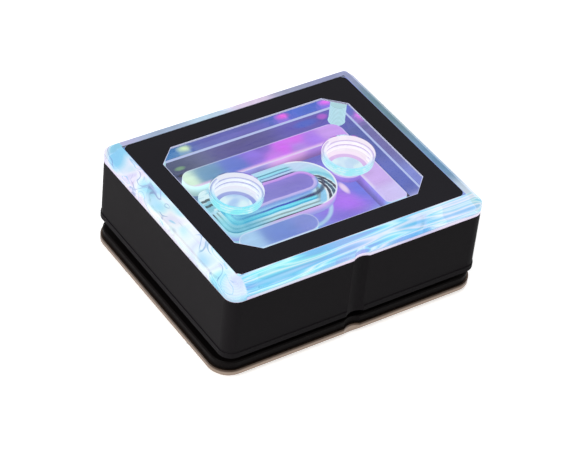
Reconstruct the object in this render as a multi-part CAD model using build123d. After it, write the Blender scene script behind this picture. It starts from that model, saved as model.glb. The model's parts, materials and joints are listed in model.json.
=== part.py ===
from build123d import *
import os

# A water block for a processor, in millimetres.
# A finned metal plate lies at the bottom. Above it come a black manifold, a black housing
# and a clear top with two threaded ports, lit from below by a ring of small lights.
# The origin is on the floor under the middle of the block. X runs along the length from
# the inlet port to the outlet port, Y to the back and Z up.

# Shared sizes
overrun = 1.0
slide_gap = 0.2
seal_gap = 0.05

# Body outline, shared by the housing and the clear crown
body_length = 74.0
body_width = 62.0
body_corner = 3.2

# Locating notch in the middle of each long side
notch_radius = 4.0
notch_depth = 0.75

# Cold plate, a little longer and narrower than the body
plate_reach = 1.1
plate_inset = 0.2
plate_thick = 2.9
plate_corner = 5.5
plate_bevel = 1.3
pedestal_height = 2.0
pedestal_gap = 0.4
fin_margin_x = 4.8
fin_margin_y = 1.6
fin_height = 3.2
fin_pitch = 0.8
fin_gap = 0.4

# Bracket ring, which closes the groove from below
ring_inset = 0.5
ring_thick = 2.1
ring_edge = 0.3

# Bracket groove and housing
groove_height = 2.4
groove_depth = 3.2
neck_corner = 4.0
housing_height = 17.7
housing_wall = 1.8
housing_floor = 2.0
lip_height = 1.5
lip_proud = 0.2
lip_round = 0.15

# Clear top: a crown that shows, a block inside the housing and a core inside the light ring
crown_height = 4.6
crown_bevel_width = 2.3
crown_bevel_height = 2.1
light_band_x = 4.7
light_band_y = 4.5
core_corner = 2.0

# Black trim frame let into the clear top, and its eight-sided window
trim_border = 4.0
trim_corner = 1.8
trim_thick = 1.0
tape_thick = 0.15
tape_inset = 0.4
frame_band_x = 5.5
frame_band_y = 5.55
window_cut_x = 5.1
window_cut_y = 4.9

# Threaded ports
port_inset = 11.1
port_radius = 6.6
port_depth = 5.0
port_chamfer = 0.3
bore_radius = 4.3
inlet_bore_sink = 1.7
outlet_bore_sink = 3.3

# Inlet pocket: a stepped capsule, squarer under the port, open at the underside of the clear top
inlet_port_step = 2.2
inlet_radius = 4.0
inlet_steps = 4
inlet_step_out = 1.2
inlet_step_down = 0.4
inlet_corner_share = 0.33
cross_wall = 5.75

# Outlet channel: a long back run, a short front run and a cross run under the outlet port
channel_radius = 3.2
channel_height = 6.3
channel_wall = 1.5
channel_start_step = 3.5
channel_end_step = 4.45
front_run_length = 15.3
cross_corner = 1.5

# Seals between manifold, plate and clear top
seal_inset_x = 4.3
seal_inset_y = 5.9
seal_corner = 5.2
seal_section = 1.6
seal_height = 1.2
seal_round = 0.4

# Manifold
shoulder_gap = 0.2
shoulder_height = 2.8
land_height = 1.5
cavity_inset_x = 3.0
cavity_inset_y = 2.3
cavity_corner = 4.0
spread_end = 6.0
spread_width = 6.0
spread_height = 2.0
side_slot_end = 5.2
side_slot_radius = 2.0
feed_radius = 1.8

# Jet plate and its gasket
jet_inset = 2.2
jet_width = 17.0
jet_corner = 2.0
jet_thick = 0.8
jet_slot_end = 8.0
jet_slot_width = 2.0
gasket_thick = 0.6
gasket_band = 2.4

# Nozzle insert in the inlet pocket
nozzle_gap = 0.4
nozzle_web = 0.5
nozzle_tier_height = 2.1
nozzle_tier_in = 1.6
nozzle_funnel = 1.0
ring_seal_low = 0.8
ring_seal_height = 1.3
ring_seal_section = 1.1

# Light board round the core of the clear top
board_thick = 1.0
board_gap = 0.3
board_corner = 1.2
led_size = 3.2
led_height = 1.5
led_well_radius = 1.3
led_well_depth = 0.3
light_gap = 0.6
led_corner_step = 4.85
led_pitch = 13.3
led_side = 18.2
capacitor_size = 1.5
capacitor_width = 0.8
capacitor_height = 0.8
capacitor_offset = 3.0

# Wire header and cable grommet at the back
header_offset = 6.6
header_length = 5.4
header_width = 3.0
header_height = 1.8
header_wall = 0.4
header_floor = 0.4
pin_size = 0.5
pin_pitch = 1.5
pin_height = 1.1
pin_count = 3
grommet_length = 5.6
grommet_flange = 1.2
grommet_flange_thick = 0.6
grommet_bore_length = 3.8
grommet_bore_height = 1.0

# Screws
body_screw_inset_x = 3.5
body_screw_inset_y = 4.7
body_screw_radius = 2.0
body_screw_head = 3.8
body_screw_end_depth = 5.6
thread_play = 0.15
thread_run = 1.0
socket_flats = 2.5
socket_depth = 1.3
ring_screw_y = 15.0
ring_screw_radius = 1.0
ring_screw_head = 1.8
ring_screw_end = 0.6
ring_socket_flats = 1.2
ring_socket_depth = 0.7
head_sink = 0.15
screw_gap = 0.2
board_screw_radius = 0.9
board_screw_head = 1.6
board_screw_head_height = 1.0
board_screw_grip = 2.2
board_slot_width = 0.4
board_slot_depth = 0.4

# Outlines that follow from the body, from the outside in
plate_length = body_length + 2 * plate_reach
plate_width = body_width - 2 * plate_inset
ring_length = plate_length - 2 * ring_inset
ring_width = plate_width - 2 * ring_inset
ring_corner = plate_corner - ring_inset
neck_length = body_length - 2 * groove_depth
neck_width = body_width - 2 * groove_depth
room_length = body_length - 2 * housing_wall
room_width = body_width - 2 * housing_wall
room_corner = body_corner - housing_wall
block_length = room_length - 2 * slide_gap
block_width = room_width - 2 * slide_gap
block_corner = room_corner - slide_gap
core_length = room_length - 2 * light_band_x
core_width = room_width - 2 * light_band_y
trim_length = body_length - 2 * trim_border
trim_width = body_width - 2 * trim_border
window_length = trim_length - 2 * frame_band_x
window_width = trim_width - 2 * frame_band_y
board_length = room_length - 2 * board_gap
board_width = room_width - 2 * board_gap
board_hole_length = core_length + 2 * board_gap
board_hole_width = core_width + 2 * board_gap
board_mid_x = (board_length + board_hole_length) / 4
board_mid_y = (board_width + board_hole_width) / 4
seal_length = core_length - 2 * seal_inset_x
seal_width = core_width - 2 * seal_inset_y
cavity_length = seal_length - 2 * cavity_inset_x
cavity_width = seal_width - 2 * cavity_inset_y
pedestal_length = cavity_length - 2 * pedestal_gap
pedestal_width = cavity_width - 2 * pedestal_gap
pedestal_corner = cavity_corner - pedestal_gap
fin_field = pedestal_length - 2 * fin_margin_x
fin_length = pedestal_width - 2 * fin_margin_y
jet_length = cavity_length - 2 * jet_inset
jet_slot_length = jet_length - 2 * jet_slot_end
spread_length = jet_length - 2 * spread_end

# Places that follow from these outlines
port_offset = window_length / 2 - port_inset
pocket_radius = inlet_radius + inlet_steps * inlet_step_out
channel_y = (seal_width - seal_section) / 2 - channel_wall - channel_radius
channel_start = -port_offset - channel_start_step
channel_end = port_offset + channel_end_step
front_run_end = channel_start + front_run_length
inlet_start = inlet_port_step - port_offset
inlet_end = channel_end - channel_radius - cross_wall - pocket_radius
nozzle_radius = pocket_radius - slide_gap
side_slot_reach = cavity_length / 2 - side_slot_end
led_far = board_mid_x - led_corner_step
led_near = led_far - led_pitch
header_x = led_far - header_offset
body_screw_x = core_length / 2 - body_screw_inset_x
body_screw_y = core_width / 2 - body_screw_inset_y
ring_screw_x = (ring_length + neck_length) / 4

# Levels, counted up from the floor
ring_level = plate_thick
groove_level = ring_level + ring_thick
housing_level = groove_level + groove_height
crown_level = housing_level + housing_height
top_level = crown_level + crown_height
shoulder_level = housing_level + housing_floor
board_level = shoulder_level + shoulder_height
board_top = board_level + board_thick
rim_level = board_top + led_height + light_gap
grommet_level = (board_top + rim_level) / 2
grommet_height = rim_level - board_top - slide_gap
core_level = board_level + land_height
pedestal_level = plate_thick + pedestal_height
jet_level = pedestal_level + gasket_thick
cavity_level = jet_level + jet_thick
tier_level = core_level + ring_seal_low + ring_seal_height + nozzle_web
nozzle_level = tier_level + nozzle_tier_height
pocket_level = nozzle_level + nozzle_gap
inlet_level = pocket_level + inlet_steps * inlet_step_down
channel_level = core_level + channel_height
trim_level = top_level - trim_thick
tape_level = trim_level - tape_thick


def rounded_block(length, width, corner, low, high):
    """An upright block with rounded corners, between two levels."""
    return extrude(Pos(0, 0, low) * RectangleRounded(length, width, corner), high - low)


def capsule_block(start, end, y, radius, low, high):
    """An upright block with round ends, along X, between two levels."""
    outline = SlotCenterToCenter(end - start, 2 * radius)
    return extrude(Pos((start + end) / 2, y, low) * outline, high - low)


def inlet_block(radius, low, high):
    """The outline of the inlet pocket: a capsule whose end under the port is squarer."""
    left = inlet_start - radius
    outline = RectangleRounded(inlet_end - left, 2 * radius, inlet_corner_share * radius)
    square = extrude(Pos((left + inlet_end) / 2, 0, low) * outline, high - low)
    return square + capsule_block(inlet_start, inlet_end, 0, radius, low, high)


def upright_pin(x, y, radius, low, high):
    """A round pin or bore that stands on a level."""
    return extrude(Pos(x, y, low) * Circle(radius), high - low)


def corner_places(x, y):
    """The four places at plus and minus x and y."""
    return [(side * x, end * y) for side in (-1, 1) for end in (-1, 1)]


def notch_cutters(face_y, low, high):
    """Two round cutters that mark both long sides in the middle."""
    centre = face_y + notch_radius - notch_depth
    return [upright_pin(0, side * centre, notch_radius, low, high) for side in (-1, 1)]


def window_block(low, high):
    """The eight-sided window of the trim frame, between two levels."""
    half_x, half_y = window_length / 2, window_width / 2
    cut_x, cut_y = half_x - window_cut_x, half_y - window_cut_y
    quarter = [(half_x, cut_y), (cut_x, half_y)]
    right = quarter + [(-x, y) for x, y in reversed(quarter)]
    points = right + [(-x, -y) for x, y in right]
    return extrude(Pos(0, 0, low) * Polygon(*points), high - low)


def seal_band(play, low, high):
    """The band that the main seals and their grooves share."""
    grow = seal_section + 2 * play
    outer = rounded_block(seal_length + grow, seal_width + grow, seal_corner + grow / 2, low, high)
    inner = rounded_block(seal_length - grow, seal_width - grow, seal_corner - grow / 2, low, high)
    return outer - inner


def countersunk_screw(x, y, radius, head, end, flats, depth):
    """A countersunk screw that points up, with a hexagon socket below."""
    neck = head_sink + head - radius
    cone = Pos(x, y, (head_sink + neck) / 2) * Cone(head, radius, neck - head_sink)
    shank = upright_pin(x, y, radius, neck, end)
    hexagon = RegularPolygon(flats / 2, 6, major_radius=False)
    socket = extrude(Pos(x, y, head_sink) * hexagon, depth)
    return cone + shank - socket


def countersink_cut(x, y, radius, head, high):
    """The seat and through hole for a countersunk screw, with play all round."""
    neck = head_sink + head - radius
    seat = Pos(x, y, neck / 2) * Cone(head + head_sink + screw_gap, radius + screw_gap, neck)
    return seat + upright_pin(x, y, radius + screw_gap, -overrun, high)


def cold_plate():
    """Metal plate with bevelled long sides, a pedestal, cooling fins and screw seats."""
    plate = rounded_block(plate_length, plate_width, plate_corner, 0, plate_thick)
    bottom = plate.faces().sort_by(Axis.Z)[0]
    long_edges = bottom.edges().filter_by(Axis.X)
    plate = chamfer(long_edges, plate_bevel)
    plate += rounded_block(pedestal_length, pedestal_width, pedestal_corner, plate_thick, pedestal_level)
    gap_count = int(fin_field / fin_pitch)
    floor_level = pedestal_level - fin_height
    gap = extrude(Pos(0, 0, floor_level) * Rectangle(fin_gap, fin_length), fin_height + overrun)
    first = -(gap_count - 1) * fin_pitch / 2
    plate -= [Pos(first + index * fin_pitch, 0, 0) * gap for index in range(gap_count)]
    for x, y in corner_places(body_screw_x, body_screw_y):
        plate -= countersink_cut(x, y, body_screw_radius, body_screw_head, plate_thick + overrun)
    for x, y in corner_places(ring_screw_x, ring_screw_y):
        plate -= countersink_cut(x, y, ring_screw_radius, ring_screw_head, plate_thick + overrun)
    return plate - notch_cutters(plate_width / 2, -overrun, plate_thick + overrun)


def bracket_ring():
    """Black ring on the cold plate, the lower wall of the bracket groove."""
    ring = rounded_block(ring_length, ring_width, ring_corner, ring_level, groove_level)
    ring = chamfer(ring.faces().sort_by(Axis.Z)[-1].edges(), ring_edge)
    opening_corner = neck_corner + slide_gap
    ring -= rounded_block(neck_length + 2 * slide_gap, neck_width + 2 * slide_gap, opening_corner,
                          ring_level - overrun, groove_level + overrun)
    for x, y in corner_places(ring_screw_x, ring_screw_y):
        ring -= upright_pin(x, y, ring_screw_radius + thread_play, ring_level - overrun,
                            groove_level - ring_screw_end + thread_play)
    return ring - notch_cutters(ring_width / 2, ring_level - overrun, groove_level + overrun)


def wall_slot(length, height, start_y, depth):
    """A flat-sided stadium that runs backwards through the wall at the cable outlet."""
    outline = Plane.XZ * SlotOverall(length, height)
    return Pos(header_x, start_y, grommet_level) * extrude(outline, -depth)


def housing_shell():
    """Black outer casing with a proud lip at its foot and a cable hole at the back."""
    shell = rounded_block(body_length, body_width, body_corner, housing_level, crown_level)
    lip = rounded_block(body_length + 2 * lip_proud, body_width + 2 * lip_proud, body_corner + lip_proud,
                        housing_level, housing_level + lip_height)
    lip = fillet(lip.faces().sort_by(Axis.Z)[-1].edges(), lip_round)
    shell += lip
    shell -= rounded_block(room_length, room_width, room_corner, shoulder_level, crown_level + overrun)
    shell -= rounded_block(neck_length + 2 * slide_gap, neck_width + 2 * slide_gap, neck_corner + slide_gap,
                           housing_level - overrun, shoulder_level + overrun)
    shell -= notch_cutters(body_width / 2, housing_level - overrun, crown_level + overrun)
    cut_start = room_width / 2 - overrun
    return shell - wall_slot(grommet_length, grommet_height, cut_start, housing_wall + 2 * overrun)


def inlet_pocket():
    """Stepped capsule that widens downwards in even steps."""
    pocket = inlet_block(pocket_radius, core_level - overrun, pocket_level)
    for step in range(inlet_steps):
        radius = inlet_radius + step * inlet_step_out
        ceiling = inlet_level - step * inlet_step_down
        pocket += inlet_block(radius, pocket_level - overrun, ceiling)
    return pocket


def outlet_channel():
    """A back run, a shorter front run and a cross run that is squarer at the front."""
    low = core_level - overrun
    channel = capsule_block(channel_start, channel_end, channel_y, channel_radius, low, channel_level)
    channel += capsule_block(channel_start, front_run_end, -channel_y, channel_radius, low, channel_level)
    cross = Rot(0, 0, 90) * SlotCenterToCenter(2 * channel_y, 2 * channel_radius)
    channel += extrude(Pos(channel_end, 0, low) * cross, channel_level - low)
    reach = channel_y + channel_radius
    front = RectangleRounded(2 * channel_radius, reach, cross_corner)
    return channel + extrude(Pos(channel_end, -reach / 2, low) * front, channel_level - low)


def port_cut(x, bottom):
    """A plain bore at the thread's outer size, its shoulder and the bore below it."""
    mouth = upright_pin(x, 0, port_radius, top_level - port_depth, top_level + overrun)
    mouth += Pos(x, 0, top_level) * Cone(port_radius, port_radius + 2 * port_chamfer, 2 * port_chamfer)
    return mouth + upright_pin(x, 0, bore_radius, bottom, top_level - port_depth + overrun)


def acrylic_top():
    """Clear block: bevelled crown, rebated foot, ports, pockets and screw holes."""
    crown = rounded_block(body_length, body_width, body_corner, crown_level, top_level)
    top_face = crown.faces().sort_by(Axis.Z)[-1]
    crown = chamfer(top_face.edges(), crown_bevel_width, crown_bevel_height, reference=top_face)
    crown += rounded_block(block_length, block_width, block_corner, rim_level, crown_level)
    crown += rounded_block(core_length, core_width, core_corner, core_level, rim_level)
    crown -= notch_cutters(body_width / 2, crown_level - overrun, top_level + overrun)
    frame_seat = rounded_block(trim_length, trim_width, trim_corner, tape_level, top_level + overrun)
    crown -= frame_seat - window_block(tape_level - overrun, top_level + 2 * overrun)
    crown -= inlet_pocket()
    crown -= outlet_channel()
    crown -= port_cut(-port_offset, inlet_level - inlet_bore_sink)
    crown -= port_cut(port_offset, channel_level - outlet_bore_sink)
    for x, y in corner_places(body_screw_x, body_screw_y):
        crown -= upright_pin(x, y, body_screw_radius + thread_play, core_level - overrun,
                             top_level - body_screw_end_depth + thread_run)
    return crown


def trim_frame():
    """Black frame with an eight-sided window, flush with the clear top."""
    frame = rounded_block(trim_length - seal_gap, trim_width - seal_gap, trim_corner, trim_level, top_level)
    return frame - window_block(trim_level - overrun, top_level + overrun)


def trim_tape():
    """Thin adhesive film under the trim frame."""
    film = rounded_block(trim_length - 2 * tape_inset, trim_width - 2 * tape_inset,
                         trim_corner - tape_inset, tape_level, trim_level)
    return film - window_block(tape_level - overrun, trim_level + overrun)


def feed_slot(low, high):
    """The slot that takes the coolant down from the inlet pocket."""
    return capsule_block(inlet_start, inlet_end, 0, feed_radius, low, high)


def manifold():
    """Black middle block: neck in the groove, shoulder under the lights and flow slots."""
    block = rounded_block(neck_length, neck_width, neck_corner, plate_thick, shoulder_level)
    block += rounded_block(room_length - 2 * shoulder_gap, room_width - 2 * shoulder_gap,
                           room_corner - shoulder_gap, shoulder_level, board_level)
    block += rounded_block(core_length, core_width, core_corner, board_level, core_level)
    block -= rounded_block(cavity_length, cavity_width, cavity_corner, plate_thick - overrun, cavity_level)
    spread = Pos(0, 0, cavity_level) * SlotOverall(spread_length, spread_width)
    block -= extrude(spread, spread_height)
    block -= feed_slot(cavity_level, core_level + overrun)
    for side in (-1, 1):
        block -= capsule_block(-side_slot_reach, side_slot_reach, side * channel_y, side_slot_radius,
                               cavity_level - overrun, core_level + overrun)
    block -= seal_band(seal_gap, core_level - seal_height, core_level + overrun)
    block -= seal_band(seal_gap, plate_thick - overrun, plate_thick + seal_height)
    for x, y in corner_places(body_screw_x, body_screw_y):
        block -= upright_pin(x, y, body_screw_radius + screw_gap, plate_thick - overrun, core_level + overrun)
    for x, y in corner_places(board_mid_x, board_mid_y):
        block -= upright_pin(x, y, board_screw_radius + thread_play,
                             board_level - board_screw_grip - thread_play, board_level + overrun)
    return block


def main_seal(low):
    """A square-set rubber ring, as squeezed in its groove."""
    ring = seal_band(0, low, low + seal_height)
    flat_edges = ring.faces().sort_by(Axis.Z)[0].edges() + ring.faces().sort_by(Axis.Z)[-1].edges()
    return fillet(flat_edges, seal_round)


def nozzle_insert():
    """Two-tier capsule plug with a seal groove and a funnel over the feed slot."""
    plug = inlet_block(nozzle_radius, core_level, tier_level)
    plug += inlet_block(nozzle_radius - nozzle_tier_in, tier_level, nozzle_level)
    plug -= feed_slot(core_level - overrun, nozzle_level + overrun)
    top_face = plug.faces().sort_by(Axis.Z)[-1]
    plug = chamfer(top_face.inner_wires()[0].edges(), nozzle_funnel)
    low = core_level + ring_seal_low
    high = low + ring_seal_height
    band = inlet_block(pocket_radius + overrun, low, high)
    band -= inlet_block(pocket_radius - ring_seal_section, low, high)
    return plug - band


def nozzle_seal():
    """Rubber ring round the nozzle insert, against the wall of the inlet pocket."""
    low = core_level + ring_seal_low
    high = low + ring_seal_height
    ring = inlet_block(pocket_radius - seal_gap, low, high)
    return ring - inlet_block(pocket_radius - ring_seal_section + seal_gap, low, high)


def jet_plate():
    """Thin metal plate whose slot aims the coolant at the middle of the fins."""
    plate = rounded_block(jet_length, jet_width, jet_corner, jet_level, cavity_level)
    slot = Pos(0, 0, jet_level - overrun) * SlotOverall(jet_slot_length, jet_slot_width)
    return plate - extrude(slot, jet_thick + 2 * overrun)


def jet_gasket():
    """Soft frame that seals the jet plate to the tops of the fins."""
    frame = rounded_block(jet_length, jet_width, jet_corner, pedestal_level, jet_level)
    inner_corner = jet_corner / 2
    return frame - rounded_block(jet_length - 2 * gasket_band, jet_width - 2 * gasket_band, inner_corner,
                                 pedestal_level - overrun, jet_level + overrun)


def led_places():
    """Where the lights stand: the place, and the unit step towards the middle of the side."""
    places = []
    for side in (-1, 1):
        for end in (-1, 1):
            places.append((end * led_near, side * board_mid_y, -end, 0))
            places.append((end * led_far, side * board_mid_y, -end, 0))
            places.append((side * board_mid_x, end * led_side, 0, -end))
    return places


def led_board():
    """Circuit board in one ring round the core of the clear top."""
    board = rounded_block(board_length, board_width, board_corner, board_level, board_top)
    board -= rounded_block(board_hole_length, board_hole_width, core_corner + board_gap,
                           board_level - overrun, board_top + overrun)
    hole_radius = board_screw_radius + thread_play
    for x, y in corner_places(board_mid_x, board_mid_y):
        board -= upright_pin(x, y, hole_radius, board_level - overrun, board_top + overrun)
    return board


def led_chips():
    """Square light packages, each with a round well."""
    chips = []
    for x, y, step_x, step_y in led_places():
        chip = extrude(Pos(x, y, board_top) * Rectangle(led_size, led_size), led_height)
        well_level = board_top + led_height - led_well_depth
        chips.append(chip - upright_pin(x, y, led_well_radius, well_level, well_level + overrun))
    return chips


def led_capacitors():
    """One small capacitor beside each light."""
    parts = []
    for x, y, step_x, step_y in led_places():
        along_x = capacitor_width if step_x else capacitor_size
        along_y = capacitor_size if step_x else capacitor_width
        place = Pos(x + step_x * capacitor_offset, y + step_y * capacitor_offset, board_top)
        parts.append(extrude(place * Rectangle(along_x, along_y), capacitor_height))
    return parts


def wire_header():
    """Open-topped socket for the light cable."""
    place = Pos(header_x, board_mid_y, board_top)
    shell = extrude(place * Rectangle(header_length, header_width), header_height)
    inside = Rectangle(header_length - 2 * header_wall, header_width - 2 * header_wall)
    return shell - extrude(Pos(header_x, board_mid_y, board_top + header_floor) * inside, header_height)


def header_pins():
    """Upright contacts in the wire header."""
    pins = []
    first = header_x - (pin_count - 1) * pin_pitch / 2
    for index in range(pin_count):
        place = Pos(first + index * pin_pitch, board_mid_y, board_top + header_floor)
        pins.append(extrude(place * Rectangle(pin_size, pin_size), pin_height))
    return pins


def cable_grommet():
    """Soft flat bush in the back wall, flanged on the inside and flush outside."""
    wall_face = room_width / 2
    flange_face = wall_face - grommet_flange_thick
    sleeve_length = grommet_length - 2 * seal_gap
    sleeve_height = grommet_height - 2 * seal_gap
    bush = wall_slot(sleeve_length, sleeve_height, wall_face, housing_wall)
    bush += wall_slot(grommet_length + grommet_flange, sleeve_height, flange_face, grommet_flange_thick)
    return bush - wall_slot(grommet_bore_length, grommet_bore_height, flange_face - overrun,
                            housing_wall + grommet_flange_thick + 2 * overrun)


def body_screws():
    """Long countersunk screws that clamp plate, manifold and clear top."""
    end = top_level - body_screw_end_depth
    return [countersunk_screw(x, y, body_screw_radius, body_screw_head, end, socket_flats, socket_depth)
            for x, y in corner_places(body_screw_x, body_screw_y)]


def ring_screws():
    """Short countersunk screws that hold the bracket ring on the plate."""
    end = groove_level - ring_screw_end
    return [countersunk_screw(x, y, ring_screw_radius, ring_screw_head, end, ring_socket_flats,
                              ring_socket_depth)
            for x, y in corner_places(ring_screw_x, ring_screw_y)]


def board_screws():
    """Flat-headed screws at the corners of the light board."""
    screws = []
    head_level = board_top + board_screw_head_height
    for x, y in corner_places(board_mid_x, board_mid_y):
        screw = upright_pin(x, y, board_screw_head, board_top, head_level)
        screw += upright_pin(x, y, board_screw_radius, board_level - board_screw_grip, board_top)
        slot = Rectangle(2 * board_screw_head + overrun, board_slot_width)
        slot_place = Pos(x, y, head_level - board_slot_depth)
        screws.append(screw - extrude(slot_place * slot, board_slot_depth + overrun))
    return screws


pieces = {
    "cold_plate": cold_plate(),
    "bracket_ring": bracket_ring(),
    "manifold": manifold(),
    "plate_seal": main_seal(plate_thick),
    "top_seal": main_seal(core_level - seal_height),
    "jet_plate": jet_plate(),
    "jet_gasket": jet_gasket(),
    "nozzle_insert": nozzle_insert(),
    "nozzle_seal": nozzle_seal(),
    "housing_shell": housing_shell(),
    "acrylic_top": acrylic_top(),
    "trim_frame": trim_frame(),
    "trim_tape": trim_tape(),
    "led_board": led_board(),
    "led_chips": led_chips(),
    "led_capacitors": led_capacitors(),
    "wire_header": wire_header(),
    "header_pins": header_pins(),
    "cable_grommet": cable_grommet(),
    "body_screws": body_screws(),
    "ring_screws": ring_screws(),
    "board_screws": board_screws(),
}

os.makedirs("parts", exist_ok=True)
for name, piece in pieces.items():
    shape = Compound(children=piece) if isinstance(piece, list) else piece
    export_step(shape, "parts/" + name + ".step")
    print(name, "volume", round(shape.volume, 1))
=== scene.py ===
# %% [markdown]
# # A lit water block
# This lesson dresses the solids of a processor water block. The solids come from the packed
# frame and stay as they are. The lesson gives them their finishes, adds the fine ribs that
# the solids leave out, and then sets the light and the camera.

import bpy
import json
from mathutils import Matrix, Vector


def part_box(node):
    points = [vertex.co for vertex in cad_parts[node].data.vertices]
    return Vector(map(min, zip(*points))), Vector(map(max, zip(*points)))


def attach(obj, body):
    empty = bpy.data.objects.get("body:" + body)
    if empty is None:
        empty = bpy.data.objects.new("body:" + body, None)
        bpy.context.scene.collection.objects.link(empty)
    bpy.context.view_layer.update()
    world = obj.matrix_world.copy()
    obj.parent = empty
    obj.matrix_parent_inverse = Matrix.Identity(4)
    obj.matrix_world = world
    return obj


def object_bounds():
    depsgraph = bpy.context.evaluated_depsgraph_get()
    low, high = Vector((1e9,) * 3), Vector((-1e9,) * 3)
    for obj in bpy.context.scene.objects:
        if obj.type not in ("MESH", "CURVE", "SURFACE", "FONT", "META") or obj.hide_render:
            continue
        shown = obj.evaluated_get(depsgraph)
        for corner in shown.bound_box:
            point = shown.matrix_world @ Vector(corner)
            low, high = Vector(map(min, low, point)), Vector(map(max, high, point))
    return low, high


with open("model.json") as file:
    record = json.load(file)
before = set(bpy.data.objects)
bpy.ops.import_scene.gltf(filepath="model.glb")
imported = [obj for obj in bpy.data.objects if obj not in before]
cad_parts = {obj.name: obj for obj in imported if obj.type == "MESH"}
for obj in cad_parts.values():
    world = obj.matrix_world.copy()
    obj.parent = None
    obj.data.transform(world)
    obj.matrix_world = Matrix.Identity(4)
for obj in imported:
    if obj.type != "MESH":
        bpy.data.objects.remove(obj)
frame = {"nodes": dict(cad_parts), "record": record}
cad_low, cad_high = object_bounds()
cad_size = [round(high - low, 4) for low, high in zip(cad_low, cad_high)]
print("solids:", len(frame["nodes"]), "nodes, size", cad_size)

# %% Units and places that the frame gives
import json
import math

import bpy
from mathutils import Matrix, Vector

mm = 0.001
BODY = "root"
mounts = {mount["name"]: mount for mount in frame["record"]["mounts"]}
port_places = [Vector(mounts[name]["pos_m"]) for name in ("port_in", "port_out")]
port_radius = mounts["port_in"]["dims"]["r_mm"] * mm
top_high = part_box("acrylic_top")[1]
trim_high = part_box("trim_frame")[1]
nozzle_low, nozzle_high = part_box("nozzle_insert")
chips_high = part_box("led_chips")[1]
print("ports at", [tuple(round(value, 4) for value in place) for place in port_places])

# %% [markdown]
# ## Colours and shader maths
# Colours are easiest to pick on a screen, with channels from 0 to 255. Blender works
# in linear light, so one small function turns the first kind into the second.
# A finish is a small machine of nodes. Written as Python expressions it reads like the sum it
# is, so one class wraps a socket and gives it the usual signs, and another owns the tree and
# adds any node with its settings and sockets.

# %% Screen colours to linear light
def paint(red, green, blue, level=1.0):
    """A screen colour in linear light, as a shader wants it."""
    def linear(channel):
        share = channel / 255
        return share / 12.92 if share <= 0.04045 else ((share + 0.055) / 1.055) ** 2.4
    return tuple(linear(channel) * level for channel in (red, green, blue)) + (1.0,)


# %% A socket that can be calculated with
class Wire:
    """One output socket in a tree. Signs between wires and numbers add Math nodes."""

    def __init__(self, tree, socket):
        self.tree = tree
        self.socket = socket

    def math(self, operation, *others):
        return self.tree.math(operation, self, *others)

    def __add__(self, other):
        return self.math("ADD", other)

    __radd__ = __add__

    def __sub__(self, other):
        return self.math("SUBTRACT", other)

    def __rsub__(self, other):
        return self.tree.math("SUBTRACT", other, self)

    def __mul__(self, other):
        return self.math("MULTIPLY", other)

    __rmul__ = __mul__

    def __truediv__(self, other):
        return self.math("DIVIDE", other)

    def __rtruediv__(self, other):
        return self.tree.math("DIVIDE", other, self)

    def __pow__(self, other):
        return self.math("POWER", other)

    def __abs__(self):
        return self.math("ABSOLUTE")

    def below(self, edge, soft):
        """One under the edge and nought over it, with a soft step between."""
        return self.step(edge + soft, edge - soft)

    def above(self, edge, soft):
        """One over the edge and nought under it, with a soft step between."""
        return self.step(edge - soft, edge + soft)

    def step(self, start, end):
        """Goes smoothly from nought at the start to one at the end."""
        sockets = {"Value": self, "From Min": start, "From Max": end, "To Min": 0.0, "To Max": 1.0}
        return self.tree.node("ShaderNodeMapRange", {"interpolation_type": "SMOOTHSTEP"}, sockets)

    def least(self, other):
        return self.math("MINIMUM", other)

    def most(self, other):
        return self.math("MAXIMUM", other)

    def to(self, end):
        self.tree.nodes.links.new(self.socket, end)


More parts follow.
